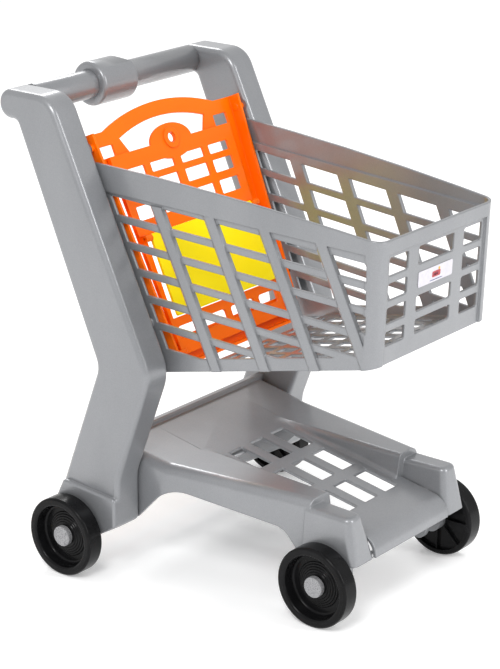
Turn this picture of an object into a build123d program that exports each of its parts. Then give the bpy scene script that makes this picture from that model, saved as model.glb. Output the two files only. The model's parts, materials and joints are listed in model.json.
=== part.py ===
from build123d import *

# Toy shopping trolley: silver frame and basket, orange gate with a fold-out doll seat, four wheels.
#
# Millimetres. +X is the front, +Y the left side, +Z up. The origin is on the floor, under the
# middle of the whole trolley. Lengths named _x below are measured forward from the rear axle.

import os
from math import atan, cos, radians, sin, tan

os.makedirs("parts", exist_ok=True)

# Wheels and axles
wheel_radius = 45.0
wheel_width = 22.0
wheel_edge_round = 3.0
wheel_web = 3.0
wheel_rib_count = 8
hub_radius = 13.0
hub_ring_count = 5
hub_ring_step = 2.6
tyre_inner_radius = 35.5
wheelbase = 295.0
axle_radius = 4.0
axle_fit = 0.05
wheel_fit = 0.08
wheel_side_gap = 0.4
cap_radius = 11.5
cap_length = 6.0
cap_recess = 3.0
cap_socket = 4.0

# Arms, and the handle between them
arm_inner = 130.5
arm_thickness = 37.5
arm_wall = 3.5
arm_edge_round = 6.5
foot_step = 6.0
foot_round = 3.0
boss_radius = 10.0
handle_radius = 16.0
handle_x = -85.0
handle_z = 515.3
handle_wall = 2.5
handle_cap = 4.0
spigot_radius = 8.0
spigot_length = 24.0
spigot_fit = 0.1
spigot_end_gap = 0.5
collar_radius = 25.0
collar_back = -42.0
collar_front = 16.0
collar_taper = 18.0

# Basket
basket_front_x = 359.0
basket_side_gap = 1.1
basket_side_taper = 0.068
basket_front_draft = 0.045
basket_corner = 16.0
basket_wall = 3.0
basket_joggle = 2.4
basket_tab = 34.0
rim_rear_z = 460.0
rim_front_z = 427.0
rim_crown = 5.5
band_rear_z = 428.5
band_slope = -0.0423
floor_rear_z = 218.2
floor_slope = 0.218
floor_start_x = 130.0
first_ridge_x = 90.0
first_ridge_z = 420.0
ridge_slope = -0.455
bay_pitch = 68.0
bay_opening = 52.0
corner_post_x = 16.0
row_pitch = 27.1
row_bar = 7.6
row_slope = -0.06
bottom_rail = 14.0
floor_pitch_x = 30.0
floor_pitch_y = 26.0
front_rows = ((409.0, 389.0), (381.5, 363.0), (355.5, 338.0), (330.0, 314.0))
front_columns = ((-84.0, -50.0), (-32.0, 32.0), (50.0, 84.0))
label_row = 1

# Base tray
tray_wall = 3.0
tray_rear_x = 20.0
deck_rear_z = 149.9
deck_front_z = 93.1
fender_start_x = 64.0
fender_z = 129.0
fender_front_half = 98.5
fender_round = 12.0
channel_half = 60.0
channel_draft = 12.0
channel_round = 6.0
block_z = 121.0
block_front_z = 118.0
block_half = 100.5
block_inner_half = 73.0
skirt_z = 70.0
side_draft = 5.5

# Gate, doll seat and its flap
gate_x = -4.0
gate_z = 483.5
gate_lean = 24.0
gate_side_gap = 6.5
gate_taper = 0.0687
gate_drop = 264.0
gate_shoulder = 4.0
gate_depth = 17.0
gate_plate = 3.0
gate_rail = 17.0
gate_pivot_drop = 10.3
gate_pivot_depth = 8.0
gate_pin_radius = 4.0
gate_stop_radius = 4.0
gate_stop_rise = 30.0
seat_margin = 22.0
seat_taper = 0.046
seat_top = 25.0
seat_bottom = 253.0
seat_front = 8.0
seat_flange = 5.0
seat_pin_drop = 249.0
seat_pin_radius = 2.5
seat_ring_x = 34.0
seat_ring_y = 20.0
seat_ring_drop = 26.0
seat_hole_drop = 22.8
seat_hole_radius = 6.0
flap_front = 1.0
flap_top = 117.0
flap_length = 93.5
flap_side_gap = 1.5
flap_hinge_drop = 120.5
flap_pin_radius = 1.5
pin_fit = 0.1
arch_half = 93.0
arch_peak = 21.5
arch_band = 17.0
seat_rows = ((43.0, 53.5), (61.0, 75.5), (85.0, 100.5))
seat_columns = ((-88.0, -54.0), (-44.5, -6.0), (6.0, 44.5), (54.0, 88.0))
seat_foot_columns = ((-86.0, -54.0), (-45.5, -4.5), (4.5, 45.5), (54.0, 86.0))

# Screws
screw_radius = 2.0
screw_fit = 0.05
screw_length = 12.0
screw_head_radius = 4.0
screw_head_height = 2.4

# Sizes that follow from those above
rear_overhang = collar_radius - handle_x
rear_axle_x = rear_overhang - (rear_overhang + basket_front_x) / 2
axle_z = wheel_radius
arm_outer = arm_inner + arm_thickness
foot_outer = arm_outer + foot_step
rear_boss = foot_outer + 2.6
rear_track = rear_boss + wheel_side_gap + wheel_width
block_side = block_half + (block_z - skirt_z) * tan(radians(side_draft))
front_boss = block_side + 0.8
front_track = front_boss + wheel_side_gap + wheel_width
basket_half = arm_inner - basket_side_gap
gate_half = arm_inner - gate_side_gap
seat_half = gate_half - seat_margin
flap_half = seat_half - 4.0 * seat_flange + 4.5
flap_bottom = flap_top + flap_length + flap_side_gap
tray_front_x = wheelbase + 41.0
block_rear_x = wheelbase - 24.0
block_front_x = wheelbase + 28.0
deck_roll_x = wheelbase + 15.0
deck_slope = (deck_front_z - deck_rear_z) / deck_roll_x
fender_top_x = (fender_z - deck_rear_z) / deck_slope
screw_hole = screw_radius + screw_fit

# (x, z, rounding radius) of each corner of an arm, seen from the side
arm_outline = (
    (-26.1, handle_z + handle_radius, 30.0),
    (handle_x - handle_radius, handle_z + handle_radius, handle_radius - 0.5),
    (handle_x - handle_radius, handle_z - handle_radius, handle_radius - 0.5),
    (-75.6, handle_z - handle_radius, 8.0),
    (34.2, 244.0, 25.0),
    (-63.0, -10.2, 26.0),
    (60.0, 62.8, 8.0),
    (60.0, 118.8, 50.0),
    (107.8, 245.3, 45.0),
)
foot_outline = (
    (-16.0, 102.5, 6.0),
    (-37.0, 60.0, 20.0),
    (-22.0, 24.0, 20.0),
    (4.0, 30.0, 8.0),
    (60.0, 63.4, 7.0),
    (60.0, 97.0, 6.0),
)
arm_mouth = ((22.0, 60.0), (16.0, 34.0), (46.0, 50.0), (50.0, 66.0))
tray_screws = ((34.0, 125.0), (41.0, 88.0))
basket_screw_heights = (442.0, 290.0)
handle_screw_y = arm_inner + 16.0


def rounded(corners, mode=Mode.ADD):
    """A face from (u, v, radius) corners, for use inside a sketch."""
    with BuildLine() as edge:
        FilletPolyline(*[(u, v) for u, v, _ in corners], radius=[r for _, _, r in corners], close=True)
    make_face(edge.edges(), mode=mode)


def plain(points, mode=Mode.ADD):
    """A face with sharp corners, for use inside a sketch."""
    with BuildLine() as edge:
        Polyline(*points, close=True)
    make_face(edge.edges(), mode=mode)


def side(corners):
    """The same corners with the first value measured from the rear axle."""
    return [(rear_axle_x + corner[0], *corner[1:]) for corner in corners]


def across(y):
    """Sketch plane at a constant y, with local axes x and z, facing the right-hand side."""
    return Plane.XZ.offset(-y)


def finish(builder, name):
    """Label one finished piece and write its file."""
    builder.part.label = name
    export_step(builder.part, f"parts/{name}.step")


def rod(x, z, radius, start, end, mode=Mode.ADD):
    """A round bar along Y between two y values, inside a part."""
    with BuildSketch(across(max(start, end))) as section:
        with Locations((rear_axle_x + x, z)):
            Circle(radius)
    extrude(section.sketch, amount=abs(end - start), mode=mode)


def slab(face_sketch, amount, mode=Mode.ADD):
    """Extrude a finished sketch inside a part."""
    extrude(face_sketch.sketch, amount=amount, mode=mode)


def finish_twin(builder, name):
    """Write the left-hand twin of a right-hand piece."""
    with BuildPart() as twin:
        add(builder.part)
        mirror(about=Plane.XZ, mode=Mode.REPLACE)
    finish(twin, name)


def line_x(start, end, z):
    """x at height z on the line through two (x, z) points."""
    return start[0] + (end[0] - start[0]) * (z - start[1]) / (end[1] - start[1])


def arm_front_x(z):
    """Front edge of an arm above its knee."""
    return line_x(arm_outline[0][:2], arm_outline[-1][:2], z)


def gate_point(drop, depth):
    """(x, z) of a point on the gate, by its distance down the gate and back from its front."""
    lean = radians(gate_lean)
    return (
        gate_x + drop * sin(lean) - depth * cos(lean),
        gate_z - drop * cos(lean) - depth * sin(lean),
    )


def basket_wall_y(x, inset):
    """Distance from the middle to the basket's side, drawn in by inset."""
    return basket_half - basket_side_taper * x - inset


gate_pivot = gate_point(gate_pivot_drop, gate_pivot_depth)
gate_stop = gate_point(gate_drop - gate_stop_rise, gate_depth + gate_stop_radius + 0.3)
basket_screws = [(arm_front_x(z) - basket_tab / 2, z) for z in basket_screw_heights]

basket_seats = [
    basket_wall_y(x, inset + basket_wall - 0.9)
    for (x, _), inset in zip(basket_screws, (0.0, basket_joggle))
]

# ------------------------------------------------------------------ arms

with BuildPart() as right_arm:
    with BuildSketch(across(-arm_inner)) as outline:
        rounded(side(arm_outline))
    slab(outline, arm_thickness)
    fillet(right_arm.faces().filter_by(Axis.Y).edges(), arm_edge_round)
    with BuildSketch(across(-arm_outer + arm_edge_round)) as foot:
        rounded(side(foot_outline))
    with BuildPart(mode=Mode.PRIVATE) as foot_pad:
        slab(foot, foot_step + arm_edge_round)
        fillet(foot_pad.faces().sort_by(Axis.Y)[0].edges(), foot_round)
    add(foot_pad.part)
    with BuildSketch(across(-arm_inner - arm_wall)) as hollow:
        rounded(side(arm_outline))
        offset(amount=-arm_wall, mode=Mode.REPLACE)
        plain(side(arm_mouth))
    slab(hollow, arm_thickness - 2 * arm_wall, Mode.SUBTRACT)
    rod(0, axle_z, boss_radius, -arm_inner, -rear_boss)
    rod(handle_x, handle_z, spigot_radius + arm_wall, -arm_inner, -arm_inner - spigot_length - 2.0)
    rod(*gate_pivot, gate_pin_radius + arm_wall, -arm_inner, -arm_inner - 10.0)
    for x, z in (*tray_screws, *basket_screws):
        rod(x, z, screw_head_radius + 1.0, -arm_inner - 1.0, -arm_inner - screw_length)
    rod(0, axle_z, axle_radius + axle_fit, -arm_inner, -rear_boss, Mode.SUBTRACT)
    rod(handle_x, handle_z, spigot_radius + spigot_fit, -arm_inner, -arm_inner - spigot_length, Mode.SUBTRACT)
    rod(*gate_pivot, gate_pin_radius + pin_fit, -arm_inner, -arm_inner - 8.0, Mode.SUBTRACT)
    for x, z in (*tray_screws, *basket_screws):
        rod(x, z, screw_hole, -arm_inner, -arm_inner - screw_length + 1.0, Mode.SUBTRACT)
    with BuildSketch(Plane.XY.offset(handle_z - handle_radius)) as handle_screw_hole:
        with Locations((rear_axle_x + handle_x, -handle_screw_y)):
            Circle(screw_hole)
    slab(handle_screw_hole, handle_radius, Mode.SUBTRACT)
finish(right_arm, "right_arm")
finish_twin(right_arm, "left_arm")

# --------------------------------------------------------------- handle

with BuildPart() as handle_bar:
    rod(handle_x, handle_z, handle_radius, -arm_inner, arm_inner)
    hollow_half = arm_inner - handle_cap
    rod(handle_x, handle_z, handle_radius - handle_wall, -hollow_half, hollow_half, Mode.SUBTRACT)
    spigot_end = arm_inner + spigot_length - spigot_end_gap
    for end in (-1, 1):
        rod(handle_x, handle_z, spigot_radius, end * arm_inner, end * spigot_end)
        with BuildSketch(Plane.XY.offset(handle_z - handle_radius)) as cross_hole:
            with Locations((rear_axle_x + handle_x, end * handle_screw_y)):
                Circle(screw_hole)
        slab(cross_hole, screw_length + 0.5, Mode.SUBTRACT)
finish(handle_bar, "handle_bar")

bar_place = (rear_axle_x + handle_x, 0, handle_z)
with BuildPart() as handle_collar:
    with BuildSketch(Plane(bar_place, x_dir=(0, 1, 0), z_dir=(1, 0, 0))) as half:
        rounded((
            (collar_back, handle_radius + pin_fit, 0),
            (collar_back, collar_radius, 4.0),
            (collar_front, collar_radius, 5.0),
            (collar_front, handle_radius + pin_fit, 0),
        ))
    revolve(half.sketch, axis=Axis(bar_place, (0, 1, 0)))
    with BuildSketch(Plane(bar_place, x_dir=(0, 1, 0), z_dir=(1, 0, 0)).offset(-2 * collar_radius)) as slope:
        plain((
            (collar_front - collar_taper, collar_radius + 0.5),
            (collar_front + 1.0, handle_radius + 1.2),
            (collar_front + 1.0, 2 * collar_radius),
            (collar_front - collar_taper, 2 * collar_radius),
        ))
    slab(slope, 4 * collar_radius, Mode.SUBTRACT)
finish(handle_collar, "handle_collar")

# --------------------------------------------------------------- basket

basket_back_x = -60.0


def floor_z(x):
    """Underside of the basket."""
    return floor_rear_z + floor_slope * x


def band_z(x, drop=0.0):
    """Lower edge of the rim band."""
    return band_rear_z + band_slope * x - drop


def basket_block(inset, underside, rise=0.0):
    """The basket as one closed tapered block, drawn in by inset, from an underside up to the rim."""
    low, high = floor_rear_z - 40.0, rim_rear_z + 60.0
    crease_x = (0.05 - basket_side_gap) / basket_side_taper
    with BuildPart() as block:
        for z in (low, high):
            front = basket_front_x - inset - (rim_front_z - z) * basket_front_draft
            with BuildSketch(Plane.XY.offset(z)):
                rounded(side((
                    (basket_back_x, -basket_wall_y(crease_x, inset), 0),
                    (crease_x, -basket_wall_y(crease_x, inset), 0),
                    (front, -basket_wall_y(front, inset), basket_corner - inset),
                    (front, basket_wall_y(front, inset), basket_corner - inset),
                    (crease_x, basket_wall_y(crease_x, inset), 0),
                    (basket_back_x, basket_wall_y(crease_x, inset), 0),
                )))
        loft()
        end_x = basket_front_x + 10.0
        middle_x = (basket_back_x + end_x) / 2
        middle_z = (rim_rear_z + rim_front_z) / 2 + rim_crown
        with BuildSketch(Plane.XZ) as profile:
            with BuildLine() as edge:
                Polyline(*side(((basket_back_x, rim_rear_z + rise), *underside, (end_x, rim_front_z + rise))))
                ThreePointArc(*side((
                    (end_x, rim_front_z + rise),
                    (middle_x, middle_z + rise),
                    (basket_back_x, rim_rear_z + rise),
                )))
            make_face(edge.edges())
        extrude(profile.sketch, amount=2 * arm_outer, both=True, mode=Mode.INTERSECT)
    return block.part


front_x = basket_front_x + 10.0
whole = ((basket_back_x, floor_z(basket_back_x)), (front_x, floor_z(front_x)))
upper = ((basket_back_x, band_z(basket_back_x)), (front_x, band_z(front_x)))
pocket = ((basket_back_x, band_z(basket_back_x, -5.0)), (front_x, band_z(front_x, -5.0)))
inside = (
    (basket_back_x, floor_z(basket_back_x) - 20.0),
    (floor_start_x, floor_z(floor_start_x) - 20.0),
    (floor_start_x, floor_z(floor_start_x) + basket_wall),
    (front_x, floor_z(front_x) + basket_wall),
)
basket_outer = basket_block(0.0, whole)
basket_band = basket_block(0.0, upper)
basket_lattice = basket_block(basket_joggle, whole)
basket_band_inside = basket_block(basket_wall, pocket, 30.0)
basket_inside = basket_block(basket_joggle + basket_wall, inside, 30.0)
bay_count = int((basket_front_x - first_ridge_x) / bay_pitch) + 1
ridge_tops = [first_ridge_x + i * bay_pitch for i in range(-1, bay_count)]


def ridge_x(top, z):
    """x of a post's ridge at height z."""
    return top + ridge_slope * (z - first_ridge_z)


with BuildPart() as basket:
    post_low = floor_rear_z
    post_high = rim_front_z - 5.0
    for top in ridge_tops[1:]:
        low_x = ridge_x(top, post_low)
        for hand in (-1, 1):
            with BuildSketch(Plane.XY.offset(post_low)) as wedge:
                plain(side((
                    (low_x - bay_pitch + bay_opening, hand * (basket_wall_y(low_x, basket_joggle) - 1.0)),
                    (low_x - bay_pitch + bay_opening, hand * basket_wall_y(low_x - 16, basket_joggle)),
                    (low_x, hand * basket_wall_y(low_x, -8.0)),
                    (low_x, hand * (basket_wall_y(low_x, basket_joggle) - 1.0)),
                )))
            run = ridge_slope * (post_high - post_low)
            rise_vector = Vector(run, hand * -basket_side_taper * run, post_high - post_low)
            extrude(wedge.sketch, amount=rise_vector.length, dir=rise_vector.normalized())
    with BuildSketch(Plane.XY.offset(post_low)) as corners:
        front_middle_half = basket_wall_y(basket_front_x, 0) - corner_post_x
        with Locations((rear_axle_x + basket_front_x, 0)):
            Rectangle(2 * (corner_post_x + 2.0), 4 * basket_half)
            Rectangle(4 * corner_post_x, 2 * front_middle_half, mode=Mode.SUBTRACT)
    slab(corners, post_high - post_low)
    add(basket_outer, mode=Mode.INTERSECT)
    add(basket_band)
    add(basket_lattice)
    add(basket_inside, mode=Mode.SUBTRACT)
    add(basket_band_inside, mode=Mode.SUBTRACT)
    with BuildSketch(Plane.XZ) as bays:
        post_front = basket_front_x - corner_post_x
        for top in ridge_tops:
            plain(side((
                (ridge_x(top, rim_rear_z) + 0.4, rim_rear_z),
                (ridge_x(top, floor_rear_z) + 0.4, floor_rear_z),
                (ridge_x(top, floor_rear_z) + bay_opening, floor_rear_z),
                (ridge_x(top, rim_rear_z) + bay_opening, rim_rear_z),
            )))
        plain(side((
            (0.0, first_ridge_z + row_slope * (0.0 - first_ridge_x)),
            (0.0, floor_z(0.0) + bottom_rail),
            (post_front, floor_z(post_front) + bottom_rail),
            (post_front, first_ridge_z + row_slope * (post_front - first_ridge_x)),
        )), mode=Mode.INTERSECT)
        for row in range(1, 8):
            z = first_ridge_z - row * row_pitch
            plain(side((
                (0.0, z + row_slope * (0.0 - first_ridge_x)),
                (0.0, z + row_slope * (0.0 - first_ridge_x) + row_bar),
                (front_x, z + row_slope * (front_x - first_ridge_x) + row_bar),
                (front_x, z + row_slope * (front_x - first_ridge_x)),
            )), mode=Mode.SUBTRACT)
    for opening in bays.sketch.faces():
        if opening.area > 60.0:
            extrude(opening, amount=2 * arm_outer, both=True, mode=Mode.SUBTRACT)
    with BuildSketch(Plane.YZ.offset(rear_axle_x + basket_front_x - 30.0)) as windows:
        for row, (top, bottom) in enumerate(front_rows):
            for left, right in front_columns:
                if row != label_row or left + right != 0:
                    with Locations(((left + right) / 2, (top + bottom) / 2)):
                        RectangleRounded(right - left, top - bottom, 2.5)
    slab(windows, 40.0, Mode.SUBTRACT)
    floor_width = basket_wall_y(floor_start_x, basket_wall) - 16.0
    lattice_start_x = floor_start_x + 8.0
    lattice_end_x = basket_front_x - 24.0
    floor_front_width = floor_width - basket_side_taper * (lattice_end_x - lattice_start_x)
    with BuildSketch(Plane.XY.offset(floor_rear_z)) as lattice:
        plain(side((
            (lattice_start_x, -floor_width),
            (lattice_end_x, -floor_front_width),
            (lattice_end_x, floor_front_width),
            (lattice_start_x, floor_width),
        )))
        with Locations((rear_axle_x + lattice_start_x + floor_pitch_x - 4.0, 0)):
            with GridLocations(floor_pitch_x, 1, 16, 1):
                Rectangle(8.0, 4 * basket_half, mode=Mode.SUBTRACT)
        with Locations((rear_axle_x + basket_front_x / 2, 0)):
            with GridLocations(1, floor_pitch_y, 1, 9):
                Rectangle(2 * basket_front_x, 8.0, mode=Mode.SUBTRACT)
    for opening in lattice.sketch.faces():
        if opening.area > 60.0:
            extrude(opening, amount=120.0, mode=Mode.SUBTRACT)
    with BuildSketch(Plane.XZ) as behind:
        plain(side((
            (basket_back_x - 10.0, rim_rear_z + 40.0),
            (arm_front_x(rim_rear_z + 40.0) - basket_tab, rim_rear_z + 40.0),
            (arm_front_x(floor_rear_z - 20.0) - basket_tab, floor_rear_z - 20.0),
            (basket_back_x - 10.0, floor_rear_z - 20.0),
        )))
    extrude(behind.sketch, amount=2 * arm_outer, both=True, mode=Mode.SUBTRACT)
    for hand in (-1, 1):
        for (x, z), seat_y in zip(basket_screws, basket_seats):
            rod(x, z, screw_head_radius + 2.0, hand * arm_inner, hand * seat_y)
    for hand in (-1, 1):
        for (x, z), seat_y in zip(basket_screws, basket_seats):
            rod(x, z, screw_head_radius + 0.5, hand * seat_y, hand * (seat_y - 6.0), Mode.SUBTRACT)
    for x, z in basket_screws:
        rod(x, z, screw_hole, -arm_outer, arm_outer, Mode.SUBTRACT)
finish(basket, "basket")

with BuildPart() as gate_stops:
    for hand in (-1, 1):
        rod(*gate_stop, gate_stop_radius, hand * basket_half, hand * (gate_half - gate_taper * gate_drop))
    add(basket_inside, mode=Mode.INTERSECT)
finish(gate_stops, "gate_stops")

with BuildPart() as front_label:
    label_top, label_bottom = front_rows[label_row]
    label_z = (label_top + label_bottom) / 2
    lean = atan(basket_front_draft)
    label_x = basket_front_x - basket_joggle - (rim_front_z - label_z) * basket_front_draft
    label_middle = (rear_axle_x + label_x, 0, label_z)
    with BuildSketch(Plane(label_middle, x_dir=(0, 1, 0), z_dir=(cos(lean), 0, -sin(lean)))) as plate:
        RectangleRounded(2 * front_columns[1][1] - 2.0, label_top - label_bottom - 1.5, 2.0)
    slab(plate, 0.8)
finish(front_label, "front_label")

# ------------------------------------------------------------ base tray


def deck_z(x):
    """Top of the tray's deck."""
    return deck_rear_z + deck_slope * x


def fender_half_at(x):
    """Half width of the tray at the top of its sides."""
    share = max(0.0, (x - fender_start_x - 20.0) / (block_rear_x - fender_start_x - 20.0))
    return arm_inner - 1.0 * (x > fender_start_x) - share * (arm_inner - 1.0 - fender_front_half)


def tray_blocks(inset, base):
    """Everything under the tray's top surfaces, drawn in by inset, down to a flat base."""
    spread = tan(radians(side_draft))
    with BuildPart() as blocks:
        stations = (tray_rear_x + inset, fender_start_x, fender_start_x + 30.0, block_rear_x - inset)
        for first, last in zip(stations, stations[1:]):
            for x in (first, last):
                top = min(deck_z(x), fender_z) if x > fender_start_x + 20.0 else deck_z(x)
                half = fender_half_at(x) - inset
                low = half + (top - base) * spread * (x > fender_start_x)
                with BuildSketch(Plane.YZ.offset(rear_axle_x + x)) as section:
                    top_z = max(deck_z(x), fender_z) - inset
                    radius = fender_round - inset
                    rounded(((-low, base, 0), (low, base, 0), (half, top_z, radius), (-half, top_z, radius)))
            loft(ruled=True)
        deck_corner = (rear_axle_x, 0, deck_rear_z - inset)
        with BuildSketch(Plane(deck_corner, x_dir=(1, 0, deck_slope), z_dir=(-deck_slope, 0, 1))) as deck:
            channel_length = block_rear_x + 200.0
            with Locations((channel_length / 2 + fender_top_x - 40.0, 0)):
                Rectangle(channel_length, 2 * (channel_half + inset))
        extrude(deck.sketch, amount=fender_z, taper=-channel_draft, mode=Mode.SUBTRACT)
        for hand in (-1, 1):
            with BuildSketch(Plane.XY.offset(base)) as foot:
                plain(side((
                    (block_rear_x - 6.0 + inset, hand * (channel_half + 2.0 + inset)),
                    (tray_front_x + 2.0 - inset, hand * (channel_half + 2.0 + inset)),
                    (tray_front_x + 2.0 - inset, hand * (block_side + 1.5 - inset)),
                    (block_rear_x - 6.0 + inset, hand * (block_side + 1.5 - inset)),
                )))
            with BuildSketch(Plane.XY.offset(block_z - inset)) as head:
                plain(side((
                    (block_rear_x - 6.0 + inset, hand * (block_inner_half + inset)),
                    (block_front_x - inset, hand * (block_inner_half + 4.0 + inset)),
                    (block_front_x - inset, hand * (block_half - inset)),
                    (block_rear_x - 6.0 + inset, hand * (block_half - inset)),
                )))
            with BuildPart(mode=Mode.PRIVATE) as block:
                loft([foot.sketch, head.sketch], ruled=True)
                if inset == 0:
                    middle_z = (base + block_z) / 2
                    uprights = block.edges().filter_by_position(Axis.Z, middle_z - 10.0, middle_z + 10.0)
                    fillet(uprights.group_by(Axis.X)[-1], 9.0)
                    top_edges = block.faces().sort_by(Axis.Z)[-1].edges()
                    fillet(top_edges.filter_by_position(Axis.X, rear_axle_x + block_rear_x, 500.0), 6.0)
            add(block.part)
        with BuildSketch(Plane.XZ) as core:
            rounded(side((
                (tray_rear_x + inset, base, 0),
                (tray_front_x - inset, base, 0),
                (tray_front_x - 2.0 - inset, deck_z(deck_roll_x + 14.0) - inset, 22.0 - inset),
                (tray_rear_x + inset, deck_z(tray_rear_x + inset) - inset, 0),
            )))
        extrude(core.sketch, amount=channel_half + 8.0 + inset, both=True)
        if inset == 0:
            middle_y = channel_half + 10.0
            sides = blocks.edges().filter_by(lambda e: e.length > 150 and abs(e.center().Y) < middle_y)
            fillet(sides.filter_by_position(Axis.Z, 85.0, 140.0), channel_round)
    return blocks.part


tray_outside = tray_blocks(0.0, skirt_z - 20.0)
tray_inside = tray_blocks(tray_wall, skirt_z - 24.0)

with BuildPart() as base_tray:
    add(tray_outside)
    add(tray_inside, mode=Mode.SUBTRACT)
    with BuildSketch(Plane.XZ) as clearance:
        rounded(side((
            (tray_rear_x - 10.0, 64.0, 0),
            (56.0, 62.0, 2.0),
            (100.0, 108.1, 50.0),
            (wheelbase - 54.3, 91.5, 25.0),
            (wheelbase - 37.0, skirt_z, 2.0),
            (tray_front_x + 10.0, skirt_z, 0),
            (tray_front_x + 10.0, skirt_z - 40.0, 0),
            (tray_rear_x - 10.0, skirt_z - 40.0, 0),
        )))
    extrude(clearance.sketch, amount=2 * arm_outer, both=True, mode=Mode.SUBTRACT)
    with BuildSketch(Plane.XZ) as lip:
        rounded(side((
            (tray_rear_x, deck_z(tray_rear_x) - 4.0, 0),
            (tray_rear_x + 8.0, deck_z(tray_rear_x + 8.0) - 2.0, 0),
            (tray_rear_x + 8.0, deck_z(tray_rear_x) + 4.0, 2.0),
            (tray_rear_x, deck_z(tray_rear_x) + 4.5, 2.0),
        )))
    extrude(lip.sketch, amount=arm_inner, both=True)
    with BuildSketch(Plane.XY.offset(skirt_z)) as slots:
        with Locations((rear_axle_x + wheelbase - 95.4, 0)):
            with GridLocations(58.5, 37.5, 3, 3):
                RectangleRounded(44.0, 23.5, 1.5)
    slab(slots, 100.0, Mode.SUBTRACT)
    for hand in (-1, 1):
        for inner, outer, radius, top in (
            (front_boss - 13.0, front_boss, 12.0, skirt_z + 1.0),
            (front_boss - 13.0, front_boss - 8.0, 12.0, block_front_z - 4.0),
            (channel_half + 8.0, channel_half + 15.0, 11.0, deck_z(wheelbase) - 1.0),
        ):
            with BuildSketch(across(max(hand * inner, hand * outer))) as lobe:
                with Locations((rear_axle_x + wheelbase, axle_z)):
                    Circle(radius)
                with Locations((rear_axle_x + wheelbase, (axle_z + top) / 2)):
                    Rectangle(2 * radius, top - axle_z)
            slab(lobe, outer - inner)
        for x, z in tray_screws:
            rod(x, z, screw_hole, hand * arm_inner, hand * (arm_inner - tray_wall), Mode.SUBTRACT)
    rod(wheelbase, axle_z, axle_radius + axle_fit, -front_boss, front_boss, Mode.SUBTRACT)
finish(base_tray, "base_tray")

# ------------------------------------------------------- gate and seat

gate_face = Plane(
    origin=(rear_axle_x + gate_x, 0, gate_z),
    x_dir=(0, 1, 0),
    z_dir=(cos(radians(gate_lean)), 0, sin(radians(gate_lean))),
)


def gate_width(drop, inset=0.0):
    """Half width of the gate at a distance down it."""
    return gate_half - gate_taper * drop - inset


def seat_width(drop, inset=0.0):
    """Half width of the seat back at a distance down the gate."""
    return seat_half - seat_taper * (drop - seat_top) - inset


def trapezium(width, top, bottom, inset=0.0, mode=Mode.ADD):
    """A symmetrical four-sided face between two distances down the gate."""
    plain((
        (-width(bottom, inset), -bottom),
        (width(bottom, inset), -bottom),
        (width(top, inset), -top),
        (-width(top, inset), -top),
    ), mode=mode)


def gate_outline(inset):
    """The gate's outer shape, with the arch between its shoulders."""
    arch_end = arch_half - inset
    shoulder = gate_shoulder - inset
    with BuildLine() as edge:
        Polyline(
            (arch_end, shoulder),
            (gate_width(-gate_shoulder, inset), shoulder),
            (gate_width(gate_drop, inset), -gate_drop + inset),
            (-gate_width(gate_drop, inset), -gate_drop + inset),
            (-gate_width(-gate_shoulder, inset), shoulder),
            (-arch_end, shoulder),
        )
        ThreePointArc((-arch_end, shoulder), (0, arch_peak - inset), (arch_end, shoulder))
    make_face(edge.edges())


with BuildPart() as rear_gate:
    with BuildSketch(gate_face.offset(-gate_depth)) as shell:
        gate_outline(0.0)
    slab(shell, gate_depth)
    with BuildSketch(gate_face.offset(-gate_depth + gate_plate)) as tray_pocket:
        trapezium(gate_width, -arch_peak - 10.0, gate_drop - gate_plate, gate_plate)
    slab(tray_pocket, gate_depth, Mode.SUBTRACT)
    with BuildSketch(gate_face.offset(-gate_depth - 1.0)) as gate_holes:
        trapezium(gate_width, 41.0, gate_drop - 31.0, gate_rail)
        with BuildLine() as arch:
            Polyline((72.0, -8.0), (62.0, -27.0), (-62.0, -27.0), (-72.0, -8.0))
            ThreePointArc((-72.0, -8.0), (0, arch_peak - arch_band), (72.0, -8.0))
        make_face(arch.edges())
        with Locations((-96.5, -18.5), (96.5, -18.5)):
            RectangleRounded(23.0, 13.0, 1.5)
    slab(gate_holes, gate_depth + 2.0, Mode.SUBTRACT)
    for hand in (-1, 1):
        pin_start = gate_width(gate_pivot_drop) - 4.0
        rod(*gate_pivot, gate_pin_radius, hand * pin_start, hand * (arm_inner + 6.0))
    rod(*gate_point(seat_pin_drop, seat_front + 1.5), seat_pin_radius + pin_fit,
        -gate_half, gate_half, Mode.SUBTRACT)
finish(rear_gate, "rear_gate")

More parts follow.
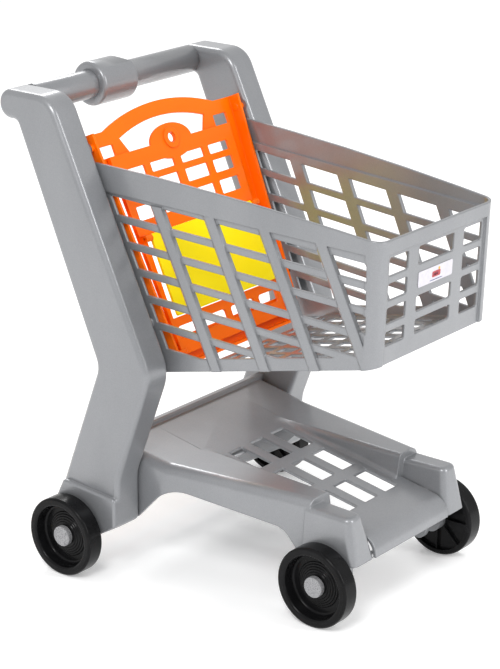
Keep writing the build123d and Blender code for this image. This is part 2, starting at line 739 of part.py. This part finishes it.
with BuildPart() as seat_back:
    with BuildSketch(gate_face.offset(-seat_front - gate_plate)) as sheet:
        trapezium(seat_width, seat_top, seat_bottom)
        for top, bottom in seat_rows:
            for left, right in seat_columns:
                with Locations(((left + right) / 2, -(top + bottom) / 2)):
                    RectangleRounded(right - left, bottom - top, 1.5, mode=Mode.SUBTRACT)
        with Locations((0, -seat_ring_drop)):
            Ellipse(seat_ring_x, seat_ring_y)
        with Locations((0, -seat_hole_drop)):
            Circle(seat_hole_radius, mode=Mode.SUBTRACT)
        with Locations((0, -(flap_top + flap_bottom) / 2)):
            Rectangle(2 * (flap_half + flap_side_gap), flap_bottom - flap_top, mode=Mode.SUBTRACT)
        for left, right in seat_foot_columns:
            with Locations(((left + right) / 2, -229.0)):
                RectangleRounded(right - left, 14.0, 4.0, mode=Mode.SUBTRACT)
    slab(sheet, gate_plate)
    with BuildSketch(gate_face.offset(-seat_front - seat_flange)) as rails:
        trapezium(seat_width, seat_top, seat_bottom - 14.0)
        trapezium(seat_width, seat_top - 1.0, seat_bottom, 3.0, mode=Mode.SUBTRACT)
    slab(rails, seat_flange)
    with BuildSketch(gate_face.offset(-seat_front)) as boss:
        with Locations((0, -seat_hole_drop)):
            Circle(2 * seat_hole_radius)
            Circle(seat_hole_radius, mode=Mode.SUBTRACT)
    slab(boss, 2.0)
    pin_place = gate_point(seat_pin_drop, seat_front + 1.5)
    for hand in (-1, 1):
        pin_start = seat_width(seat_pin_drop) - 8.0
        rod(*pin_place, seat_pin_radius, hand * pin_start, hand * gate_width(seat_pin_drop, 1.0))
        inner, outer = flap_half + 0.4, seat_width(flap_hinge_drop)
        with BuildSketch(across(max(hand * inner, hand * outer))) as ear:
            with Locations(side((gate_point(flap_hinge_drop, flap_front + 1.5),))):
                Circle(4.0)
            plain(side((
                gate_point(flap_hinge_drop - 4.0, flap_front + 1.5),
                gate_point(flap_hinge_drop - 4.0, seat_front + 1.0),
                gate_point(flap_hinge_drop + 4.0, seat_front + 1.0),
                gate_point(flap_hinge_drop + 4.0, flap_front + 1.5),
            )))
        slab(ear, outer - inner)
    rod(*gate_point(flap_hinge_drop, flap_front + 1.5), flap_pin_radius + pin_fit,
        -gate_half, gate_half, Mode.SUBTRACT)
finish(seat_back, "seat_back")

with BuildPart() as seat_flap:
    with BuildSketch(gate_face.offset(-flap_front - gate_plate)) as flap:
        with Locations((0, -(flap_top + flap_length / 2))):
            RectangleRounded(2 * flap_half, flap_length, 3.0)
    slab(flap, gate_plate)
    hinge = gate_point(flap_hinge_drop, flap_front + 1.5)
    for hand in (-1, 1):
        rod(*hinge, flap_pin_radius, hand * (flap_half - 6.0), hand * (flap_half + 7.0))
finish(seat_flap, "seat_flap")

# ------------------------------------------------------ axles and wheels

for name, x, track in (("rear_axle", 0.0, rear_track), ("front_axle", wheelbase, front_track)):
    with BuildPart() as axle:
        end = track - cap_recess - cap_length + cap_socket
        rod(x, axle_z, axle_radius, -end, end)
    finish(axle, name)

hub_face = wheel_width - cap_recess - cap_length - wheel_side_gap


def wheel_profile():
    """Half section of a wheel: (distance from its inner face, radius) corners with rounding."""
    web = hub_face - hub_ring_count - wheel_web
    corners = [
        (0.0, axle_radius + wheel_fit, 0),
        (0.0, hub_radius, 0),
        (web, hub_radius, 0),
        (web, wheel_radius - 6.0, 0),
        (0.0, wheel_radius - 6.0, 0),
        (0.0, wheel_radius, wheel_edge_round),
        (wheel_width, wheel_radius, wheel_edge_round),
        (wheel_width, tyre_inner_radius, wheel_edge_round),
        (web + wheel_web, tyre_inner_radius - 1.0, 3.0),
    ]
    for ring in range(hub_ring_count):
        radius = hub_radius + (hub_ring_count - ring) * hub_ring_step
        corners.append((web + wheel_web + ring, radius, 0))
        corners.append((web + wheel_web + ring + 1.0, radius - 0.8, 0))
    corners.append((hub_face, hub_radius, 0))
    corners.append((hub_face, axle_radius + wheel_fit, 0))
    return corners


def wheel(x, track, hand):
    """One wheel, with ribs on its inner side."""
    centre = (rear_axle_x + x, hand * (track - wheel_width), axle_z)
    web = hub_face - hub_ring_count - wheel_web
    with BuildPart() as turned:
        with BuildSketch(Plane(origin=centre, x_dir=(0, hand, 0), z_dir=(hand, 0, 0))) as half:
            rounded(wheel_profile())
        revolve(half.sketch, axis=Axis(centre, (0, 1, 0)))
        with BuildSketch(Plane(origin=centre, x_dir=(1, 0, 0), z_dir=(0, hand, 0)).offset(1.0)) as ribs:
            with PolarLocations((hub_radius + wheel_radius - 6.0) / 2, wheel_rib_count):
                Rectangle(wheel_radius - 6.0 - hub_radius + 2.0, 1.6)
        slab(ribs, web)
    return turned


def cap(x, track, hand):
    """Push-on cap that holds a wheel on its axle."""
    outer = track - cap_recess
    inner = outer - cap_length
    with BuildPart() as pressed:
        rod(x, axle_z, cap_radius, hand * inner, hand * outer)
        fillet(pressed.faces().sort_by(Axis.Y)[-1 if hand > 0 else 0].edges(), 1.0)
        rod(x, axle_z, axle_radius, hand * inner, hand * (inner + cap_socket), Mode.SUBTRACT)
    return pressed


for end_name, x, track in (("rear", 0.0, rear_track), ("front", wheelbase, front_track)):
    for side_name, hand in (("right", -1), ("left", 1)):
        finish(wheel(x, track, hand), f"{end_name}_{side_name}_wheel")
        finish(cap(x, track, hand), f"{end_name}_{side_name}_cap")

# --------------------------------------------------------------- screws


def side_screws(places, seat):
    """Screws along Y into both arms, each head on its own seat."""
    with BuildPart() as screws:
        for hand in (-1, 1):
            for (x, z), y in zip(places, seat):
                rod(x, z, screw_head_radius, hand * y, hand * (y - screw_head_height))
                rod(x, z, screw_radius, hand * y, hand * (y + screw_length))
    return screws


finish(side_screws(tray_screws, [arm_inner - tray_wall] * 2), "tray_screws")
finish(side_screws(basket_screws, basket_seats), "basket_screws")

with BuildPart() as handle_screws:
    for hand in (-1, 1):
        place = (rear_axle_x + handle_x, hand * handle_screw_y)
        with BuildSketch(Plane.XY.offset(handle_z - handle_radius)) as shank:
            with Locations(place):
                Circle(screw_radius)
        slab(shank, screw_length)
        with BuildSketch(Plane.XY.offset(handle_z - handle_radius - screw_head_height)) as head:
            with Locations(place):
                Circle(screw_head_radius)
        slab(head, screw_head_height)
finish(handle_screws, "handle_screws")
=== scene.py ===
"""Looks for the toy shopping trolley: moulded plastics, wheels, label, studio and camera."""

import json
import math

import bmesh
import bpy
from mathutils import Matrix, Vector


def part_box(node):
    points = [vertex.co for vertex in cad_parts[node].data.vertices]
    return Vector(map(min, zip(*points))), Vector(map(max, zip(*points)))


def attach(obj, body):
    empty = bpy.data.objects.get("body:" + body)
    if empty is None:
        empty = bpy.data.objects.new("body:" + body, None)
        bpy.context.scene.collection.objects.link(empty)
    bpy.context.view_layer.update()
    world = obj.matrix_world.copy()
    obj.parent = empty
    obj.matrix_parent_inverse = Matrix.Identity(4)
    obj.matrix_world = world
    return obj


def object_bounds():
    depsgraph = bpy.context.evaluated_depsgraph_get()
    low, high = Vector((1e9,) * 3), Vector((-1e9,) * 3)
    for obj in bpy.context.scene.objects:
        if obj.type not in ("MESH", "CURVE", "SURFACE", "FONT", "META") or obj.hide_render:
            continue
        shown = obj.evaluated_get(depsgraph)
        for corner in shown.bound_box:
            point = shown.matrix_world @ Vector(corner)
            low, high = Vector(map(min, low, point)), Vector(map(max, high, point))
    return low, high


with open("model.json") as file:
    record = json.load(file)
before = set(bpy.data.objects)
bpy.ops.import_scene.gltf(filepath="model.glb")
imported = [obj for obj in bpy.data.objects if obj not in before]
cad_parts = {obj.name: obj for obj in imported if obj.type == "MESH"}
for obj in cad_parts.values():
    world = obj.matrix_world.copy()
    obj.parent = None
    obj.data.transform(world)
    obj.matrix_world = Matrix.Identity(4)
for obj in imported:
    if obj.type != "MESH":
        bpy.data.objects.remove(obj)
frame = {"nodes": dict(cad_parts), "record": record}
nodes = frame["nodes"]
cad_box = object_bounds()

MM = 0.001
AXLE_LOW, AXLE_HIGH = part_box("rear_axle")
REAR_AXLE = (AXLE_LOW + AXLE_HIGH) / 2


# ---------------------------------------------------------------- materials


class Shader:
    """A node material with a Principled shader, built up by short calls."""

    def __init__(self, name, **settings):
        self.material = bpy.data.materials.new(name)
        self.material.use_nodes = True
        self.tree = self.material.node_tree
        self.bsdf = self.tree.nodes["Principled BSDF"]
        for socket, value in settings.items():
            self.bsdf.inputs[socket.replace("_", " ")].default_value = value
        self.place = self.tree.nodes.new("ShaderNodeTexCoord").outputs["Object"]

    def node(self, kind, **inputs):
        made = self.tree.nodes.new("ShaderNode" + kind)
        for name, value in inputs.items():
            socket = made.inputs[name.replace("_", " ")]
            if isinstance(value, bpy.types.NodeSocket):
                self.tree.links.new(value, socket)
            else:
                socket.default_value = value
        return made

    def stretched(self, scale):
        """Object coordinates stretched by a scale along each axis."""
        return self.node("Mapping", Vector=self.place, Scale=scale).outputs["Vector"]

    def noise(self, scale, detail=3.0, roughness=0.5, vector=None):
        return self.node("TexNoise", Vector=vector or self.place, Scale=scale, Detail=detail,
                         Roughness=roughness).outputs["Fac"]

    def ramp(self, factor, *stops):
        """Colour ramp with (position, colour) stops."""
        ramp = self.node("ValToRGB", Fac=factor)
        elements = ramp.color_ramp.elements
        while len(elements) < len(stops):
            elements.new(0.5)
        for element, (position, colour) in zip(elements, stops):
            element.position = position
            element.color = colour if len(colour) == 4 else (*colour, 1.0)
        return ramp.outputs["Color"]

    def mix(self, factor, first, second, blend="MIX"):
        made = self.tree.nodes.new("ShaderNodeMix")
        made.data_type = "RGBA"
        made.blend_type = blend
        for index, value in ((0, factor), (6, first), (7, second)):
            if isinstance(value, bpy.types.NodeSocket):
                self.tree.links.new(value, made.inputs[index])
            else:
                made.inputs[index].default_value = value
        return made.outputs[2]

    def colour(self, socket):
        self.tree.links.new(socket, self.bsdf.inputs["Base Color"])

    def roughness(self, factor, low, high):
        span = self.node("MapRange", Value=factor, To_Min=low, To_Max=high)
        self.tree.links.new(span.outputs["Result"], self.bsdf.inputs["Roughness"])

    def bump(self, height, strength, distance, edge_radius=0.0):
        """Surface relief, over moulded edges softened to a radius."""
        made = self.node("Bump", Height=height, Strength=strength, Distance=distance)
        if edge_radius:
            soft = self.node("Bevel", Radius=edge_radius)
            soft.samples = 8
            self.tree.links.new(soft.outputs["Normal"], made.inputs["Normal"])
        self.tree.links.new(made.outputs["Normal"], self.bsdf.inputs["Normal"])


def silver_plastic():
    """Silver-pigmented plastic: fine flakes, faint flow marks from moulding, satin surface."""
    shader = Shader("silver_plastic", Metallic=0.4, Coat_Weight=0.45, Coat_Roughness=0.14,
                    Specular_IOR_Level=0.5)
    flow = shader.noise(9.0, 4.0, 0.55, shader.stretched((1.0, 1.0, 0.35)))
    cloud = shader.ramp(flow, (0.3, (0.225, 0.231, 0.242)), (0.7, (0.275, 0.281, 0.292)))
    flake = shader.node("TexVoronoi", Vector=shader.place, Scale=1400.0).outputs["Color"]
    glint = shader.ramp(flake, (0.0, (0.93, 0.93, 0.94)), (1.0, (1.06, 1.06, 1.06)))
    shader.colour(shader.mix(1.0, cloud, glint, "MULTIPLY"))
    shader.roughness(shader.noise(14.0, 3.0), 0.30, 0.38)
    shader.bump(shader.noise(420.0, 2.0), 0.06, 0.0004, 0.0022)
    return shader.material


def bright_plastic(name, shade, light, deep):
    """Coloured glossy plastic with slight depth and a fine orange-peel surface."""
    shader = Shader(name, Coat_Weight=0.08, Coat_Roughness=0.15, Specular_IOR_Level=0.16)
    flow = shader.noise(12.0, 4.0, 0.55, shader.stretched((1.0, 0.4, 1.0)))
    shader.colour(shader.ramp(flow, (0.25, deep), (0.5, shade), (0.75, light)))
    shader.roughness(shader.noise(20.0, 3.0), 0.27, 0.36)
    shader.bump(shader.noise(500.0, 2.0), 0.05, 0.0003, 0.0015)
    return shader.material


def black_plastic():
    """Glossy black wheel plastic with faint scuffs on the tread."""
    shader = Shader("black_plastic", Coat_Weight=0.06, Coat_Roughness=0.08, Specular_IOR_Level=0.1)
    dust = shader.noise(35.0, 6.0, 0.65)
    shader.colour(shader.ramp(dust, (0.35, (0.004, 0.004, 0.0042)), (0.8, (0.010, 0.010, 0.011))))
    shader.roughness(shader.noise(60.0, 5.0, 0.7), 0.16, 0.34)
    shader.bump(shader.noise(300.0, 3.0), 0.05, 0.0003, 0.001)
    return shader.material


def cap_grey():
    """Light grey plastic with dark and light speckles."""
    shader = Shader("cap_grey", Specular_IOR_Level=0.4)
    speckle = shader.noise(900.0, 2.0, 0.6)
    shader.colour(shader.ramp(speckle, (0.36, (0.13, 0.13, 0.135)), (0.46, (0.26, 0.26, 0.27)),
                              (0.62, (0.38, 0.38, 0.39))))
    shader.roughness(speckle, 0.42, 0.6)
    shader.bump(speckle, 0.25, 0.0004)
    return shader.material


def steel():
    """Drawn steel rod, brushed along its length."""
    shader = Shader("steel", Metallic=1.0)
    streak = shader.noise(600.0, 3.0, 0.6, shader.stretched((1.0, 0.04, 1.0)))
    shader.colour(shader.ramp(streak, (0.3, (0.46, 0.47, 0.48)), (0.7, (0.62, 0.62, 0.63))))
    shader.roughness(streak, 0.24, 0.42)
    shader.bump(streak, 0.1, 0.0002)
    return shader.material


def label_white():
    """White film of the front label, faintly mottled."""
    shader = Shader("label_white", Coat_Weight=0.3, Coat_Roughness=0.15)
    grain = shader.noise(250.0, 3.0)
    shader.colour(shader.ramp(grain, (0.3, (0.56, 0.54, 0.59)), (0.7, (0.63, 0.61, 0.66))))
    shader.roughness(grain, 0.3, 0.4)
    return shader.material


def print_ink(name, shade):
    """Flat printed ink with a slight screen grain."""
    shader = Shader(name, Coat_Weight=0.3, Coat_Roughness=0.15)
    grain = shader.noise(700.0, 2.0)
    shader.colour(shader.ramp(grain, (0.3, tuple(0.85 * v for v in shade)), (0.7, shade)))
    shader.roughness(grain, 0.3, 0.4)
    return shader.material


def studio_floor():
    """Pale matt sweep."""
    shader = Shader("studio_floor", Specular_IOR_Level=0.1, Emission_Color=(1.0, 1.0, 1.0, 1.0),
                    Emission_Strength=0.22)
    grain = shader.noise(3.0, 2.0)
    shader.colour(shader.ramp(grain, (0.3, (0.93, 0.93, 0.93)), (0.7, (0.95, 0.95, 0.95))))
    shader.roughness(grain, 0.85, 0.95)
    return shader.material


ORANGE = {"shade": (0.98, 0.155, 0.0), "light": (0.98, 0.175, 0.001), "deep": (0.93, 0.135, 0.0)}
YELLOW = {"shade": (1.0, 0.78, 0.0), "light": (1.0, 0.82, 0.003), "deep": (0.98, 0.74, 0.0)}

MATERIALS = {
    "silver_plastic": silver_plastic(),
    "orange_plastic": bright_plastic("orange_plastic", **ORANGE),
    "yellow_plastic": bright_plastic("yellow_plastic", **YELLOW),
    "black_plastic": black_plastic(),
    "cap_grey": cap_grey(),
    "label_white": label_white(),
    "steel": steel(),
}


# ---------------------------------------------------------------- CAD nodes

# Width in millimetres of the softened edge of each node; 0 leaves the CAD roundings as they are
BEVELS = {
    "basket": 0.7, "base_tray": 0.9, "rear_gate": 0.7, "seat_back": 0.7, "seat_flap": 0.8,
    "right_arm": 0.0, "left_arm": 0.0, "handle_bar": 0.0, "handle_collar": 0.0,
}
OTHER_BEVEL = 0.4
WELD_GAP = 0.02
FLAT_ANGLE = 0.6
SHARP_ANGLE = 35


def dress_cad_nodes():
    """Give each CAD node its slot's material, softened edges and clean shading."""
    slots = {entry["node"]: entry["material_slot"] for entry in frame["record"]["subparts"]}
    for name, node in nodes.items():
        node.data.materials.clear()
        node.data.materials.append(MATERIALS[slots[name]])
        weld = node.modifiers.new("weld", "WELD")
        weld.merge_threshold = WELD_GAP * MM
        flatten = node.modifiers.new("flatten", "DECIMATE")
        flatten.decimate_type = "DISSOLVE"
        flatten.angle_limit = math.radians(FLAT_ANGLE)
        width = BEVELS.get(name, OTHER_BEVEL)
        if width:
            bevel = node.modifiers.new("soft_edges", "BEVEL")
            bevel.width = width * MM
            bevel.segments = 2
            bevel.limit_method = "ANGLE"
            bevel.angle_limit = math.radians(SHARP_ANGLE)
            bevel.use_clamp_overlap = True
            bevel.harden_normals = False
        node.data.shade_smooth()
        smooth = node.modifiers.new("normals", "WEIGHTED_NORMAL")
        smooth.keep_sharp = True
        smooth.weight = 60


dress_cad_nodes()

# ---------------------------------------------------------------- label print

LABEL_INKS = {
    "label_red": print_ink("ink_red", (0.42, 0.02, 0.03)),
    "label_blue": print_ink("ink_blue", (0.05, 0.07, 0.22)),
    "label_yellow": print_ink("ink_yellow", (0.75, 0.42, 0.02)),
}
# Each print: name, ink, sideways and upward place from the label's middle, width, height, corner radius
LABEL_PRINTS = (
    ("label_block", "label_red", 1.0, 0.0, 15.0, 6.4, 1.6),
    ("label_inset", "label_blue", 0.0, -0.2, 9.0, 3.0, 1.2),
    ("label_dot", "label_yellow", 6.0, 4.6, 3.2, 3.2, 1.5),
    ("label_line", "label_blue", 1.0, -6.0, 22.0, 0.8, 0.3),
)
PRINT_LIFT = 0.02
PRINT_TOP = 0.12


def label_frame():
    """Middle of the label's outer face, and its sideways, upward and outward directions."""
    label = nodes["front_label"].data
    face = max(label.polygons, key=lambda polygon: polygon.area * polygon.normal.x)
    out = face.normal.copy()
    low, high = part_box("front_label")
    middle = (low + high) / 2
    middle = middle + out * (face.center - middle).dot(out)
    sideways = Vector((0.0, 1.0, 0.0))
    return middle, sideways, out.cross(sideways), out


def rounded_outline(width, height, radius, steps=6):
    """Points round a rounded rectangle about its middle."""
    points = []
    for quarter, (right, up) in enumerate(((1, 1), (-1, 1), (-1, -1), (1, -1))):
        for step in range(steps + 1):
            angle = math.radians(90 * quarter + 90 * step / steps)
            u = right * (width / 2 - radius) + radius * math.cos(angle)
            v = up * (height / 2 - radius) + radius * math.sin(angle)
            points.append((u, v))
    return points


def label_print(name, ink, across, up, width, height, radius):
    """One flat patch of ink on the label, a hair thick."""
    middle, sideways, upward, out = label_frame()
    mesh = bmesh.new()
    rings = []
    for depth in (PRINT_LIFT, PRINT_TOP):
        rings.append([
            mesh.verts.new(middle + (sideways * (across + u) + upward * (up + v) + out * depth) * MM)
            for u, v in rounded_outline(width, height, radius)
        ])
    bottom, top = rings
    mesh.faces.new(top)
    mesh.faces.new(reversed(bottom))
    for index in range(len(top)):
        after = (index + 1) % len(top)
        mesh.faces.new((bottom[index], bottom[after], top[after], top[index]))
    mesh.normal_update()
    data = bpy.data.meshes.new(name)
    mesh.to_mesh(data)
    mesh.free()
    data.materials.append(LABEL_INKS[ink])
    piece = bpy.data.objects.new(name, data)
    bpy.context.scene.collection.objects.link(piece)
    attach(piece, "root")


for entry in LABEL_PRINTS:
    label_print(*entry)

# ---------------------------------------------------------------- studio


FLOOR_SIZE = 14.0
SURROUND_STRENGTH = 0.8
BODY_MIDDLE_Z = 0.28


def area_light(name, place, target, size, power):
    """Rectangular soft box at a place, turned to a target."""
    light = bpy.data.lights.new(name, "AREA")
    light.shape = "RECTANGLE"
    light.size, light.size_y = size
    light.energy = power
    lamp = bpy.data.objects.new(name, light)
    lamp.location = place
    lamp.rotation_euler = (Vector(target) - Vector(place)).to_track_quat("-Z", "Y").to_euler()
    bpy.context.scene.collection.objects.link(lamp)


def studio():
    """White sweep, even white surroundings and three soft boxes."""
    bpy.ops.mesh.primitive_plane_add(size=FLOOR_SIZE, location=(0.0, 0.0, cad_box[0][2]))
    floor = bpy.context.object
    floor.name = "floor"
    floor.data.materials.append(studio_floor())
    world = bpy.data.worlds.new("studio")
    world.use_nodes = True
    background = world.node_tree.nodes["Background"]
    background.inputs["Color"].default_value = (1.0, 1.0, 1.0, 1.0)
    background.inputs["Strength"].default_value = SURROUND_STRENGTH
    bpy.context.scene.world = world
    middle = (0.0, 0.0, BODY_MIDDLE_Z)
    area_light("key_box", (0.9, -1.9, 2.2), middle, (0.8, 0.8), 34.0)
    area_light("front_box", (2.4, 0.5, 1.3), middle, (0.4, 1.6), 24.0)
    area_light("back_box", (-1.7, 1.3, 1.9), middle, (0.8, 0.8), 18.0)


# Camera places in millimetres from the middle of the rear axle
CAMERA_EYE = (1546.5, -1794.1, 1010.0)
CAMERA_AIM = (110.65, 0.0, 207.3)
CAMERA_LENS = 117.95


def camera():
    """The viewing angle: from the front right, a little above."""
    eye = REAR_AXLE + Vector(CAMERA_EYE) * MM
    aim = REAR_AXLE + Vector(CAMERA_AIM) * MM
    lens = bpy.data.cameras.new("camera")
    lens.lens = CAMERA_LENS
    lens.sensor_width = 36.0
    lens.clip_end = 50.0
    view = bpy.data.objects.new("camera", lens)
    view.location = eye
    view.rotation_euler = (aim - eye).to_track_quat("-Z", "Y").to_euler()
    bpy.context.scene.collection.objects.link(view)
    bpy.context.scene.camera = view


studio()
camera()
bpy.context.scene.view_settings.view_transform = "Standard"
